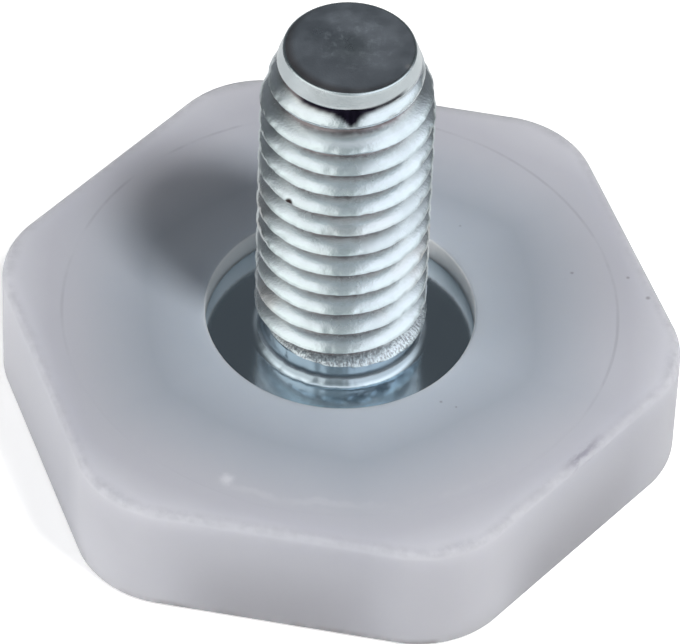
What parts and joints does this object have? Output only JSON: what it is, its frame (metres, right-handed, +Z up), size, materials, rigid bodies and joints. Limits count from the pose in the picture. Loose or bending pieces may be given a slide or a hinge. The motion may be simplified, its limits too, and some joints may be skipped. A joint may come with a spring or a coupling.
{
  "type": "appliance levelling foot",
  "caption": "Levelling foot for an appliance: a plated steel threaded stud rising from a milky plastic hexagon base that stands on the floor and takes a spanner.",
  "frame": {"origin": "centre of the sole, on the surface that the foot stands on", "axes": "+Z up along the stud, +Y square to one pair of the base's flats"},
  "size_m": [0.0314, 0.0284, 0.0224],
  "materials": {
    "zinc_plated_steel": "bright bluish zinc plate over a rolled thread",
    "milky_polyethylene": "satin, translucent milky white"
  },
  "bodies": {
    "root": {"threaded_stud": "zinc_plated_steel", "hex_base": "milky_polyethylene"}
  },
  "joints": []
}
